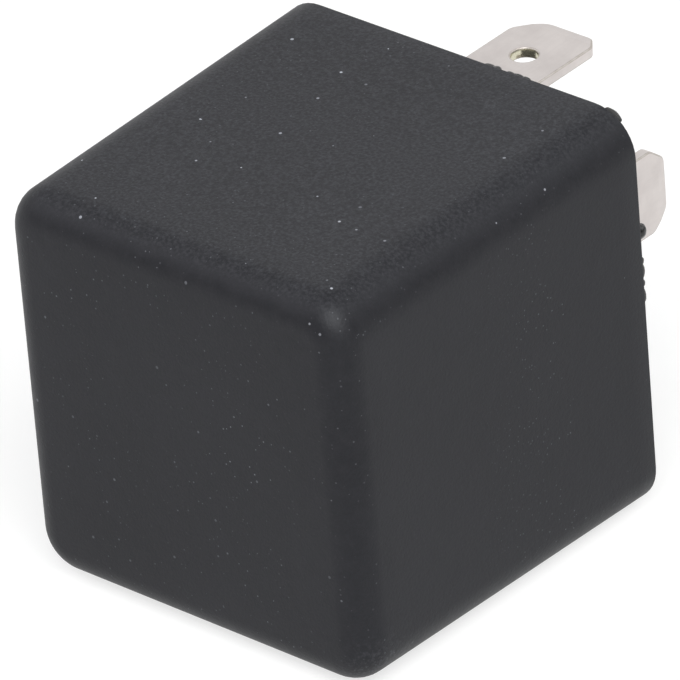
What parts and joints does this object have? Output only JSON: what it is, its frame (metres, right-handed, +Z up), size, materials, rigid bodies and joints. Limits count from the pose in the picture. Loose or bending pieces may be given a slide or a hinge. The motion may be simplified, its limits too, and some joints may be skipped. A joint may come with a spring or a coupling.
{
  "type": "automotive relay",
  "caption": "Square black changeover relay with rounded closed end, sealed mouth and flat push-on blade terminals; armature switches inside.",
  "frame": {"origin": "middle of the footprint of the relay lying on its -Z side wall, on the surface that it lies on", "axes": "+Y out of the mouth along the blades, +Z up, +X to the right seen from the closed end"},
  "size_m": [0.03, 0.0406, 0.0302],
  "materials": {
    "cover": "black moulded plastic, fine matte grain",
    "base": "black moulded plastic, plain",
    "compound": "black sealing compound, set and slightly glossy",
    "terminal": "tin-plated brass, satin",
    "iron": "zinc-plated soft iron, satin",
    "bobbin": "natural-coloured plastic",
    "wire": "enamelled copper wire, glossy",
    "leaf": "spring bronze, satin",
    "contact": "silver alloy, satin",
    "rivet": "plated steel",
    "spring": "drawn spring wire",
    "braid": "bare copper strands"
  },
  "bodies": {
    "relay": {"cover": "cover", "base": "base", "sealing_compound": "compound", "terminal_30": "terminal", "terminal_85": "terminal", "terminal_86": "terminal", "terminal_87": "terminal", "terminal_87a": "terminal", "yoke": "iron", "core": "iron", "bobbin": "bobbin", "winding": "wire", "fixed_contact_no": "contact", "fixed_contact_nc": "contact", "return_spring": "spring", "braid": "braid"},
    "armature_set": {"armature": "iron", "contact_leaf": "leaf", "moving_contact": "contact", "leaf_rivet_left": "rivet", "leaf_rivet_right": "rivet"}
  },
  "joints": [
    {"name": "armature_hinge", "type": "hinge", "parent": "relay", "child": "armature_set", "pos_m": [0, -0.01381, 0.00445], "axis": [-1, 0, 0], "range_deg": [0, 2.6], "stiffness_Nm_per_rad": 0.05, "springref_deg": -5.73}
  ]
}
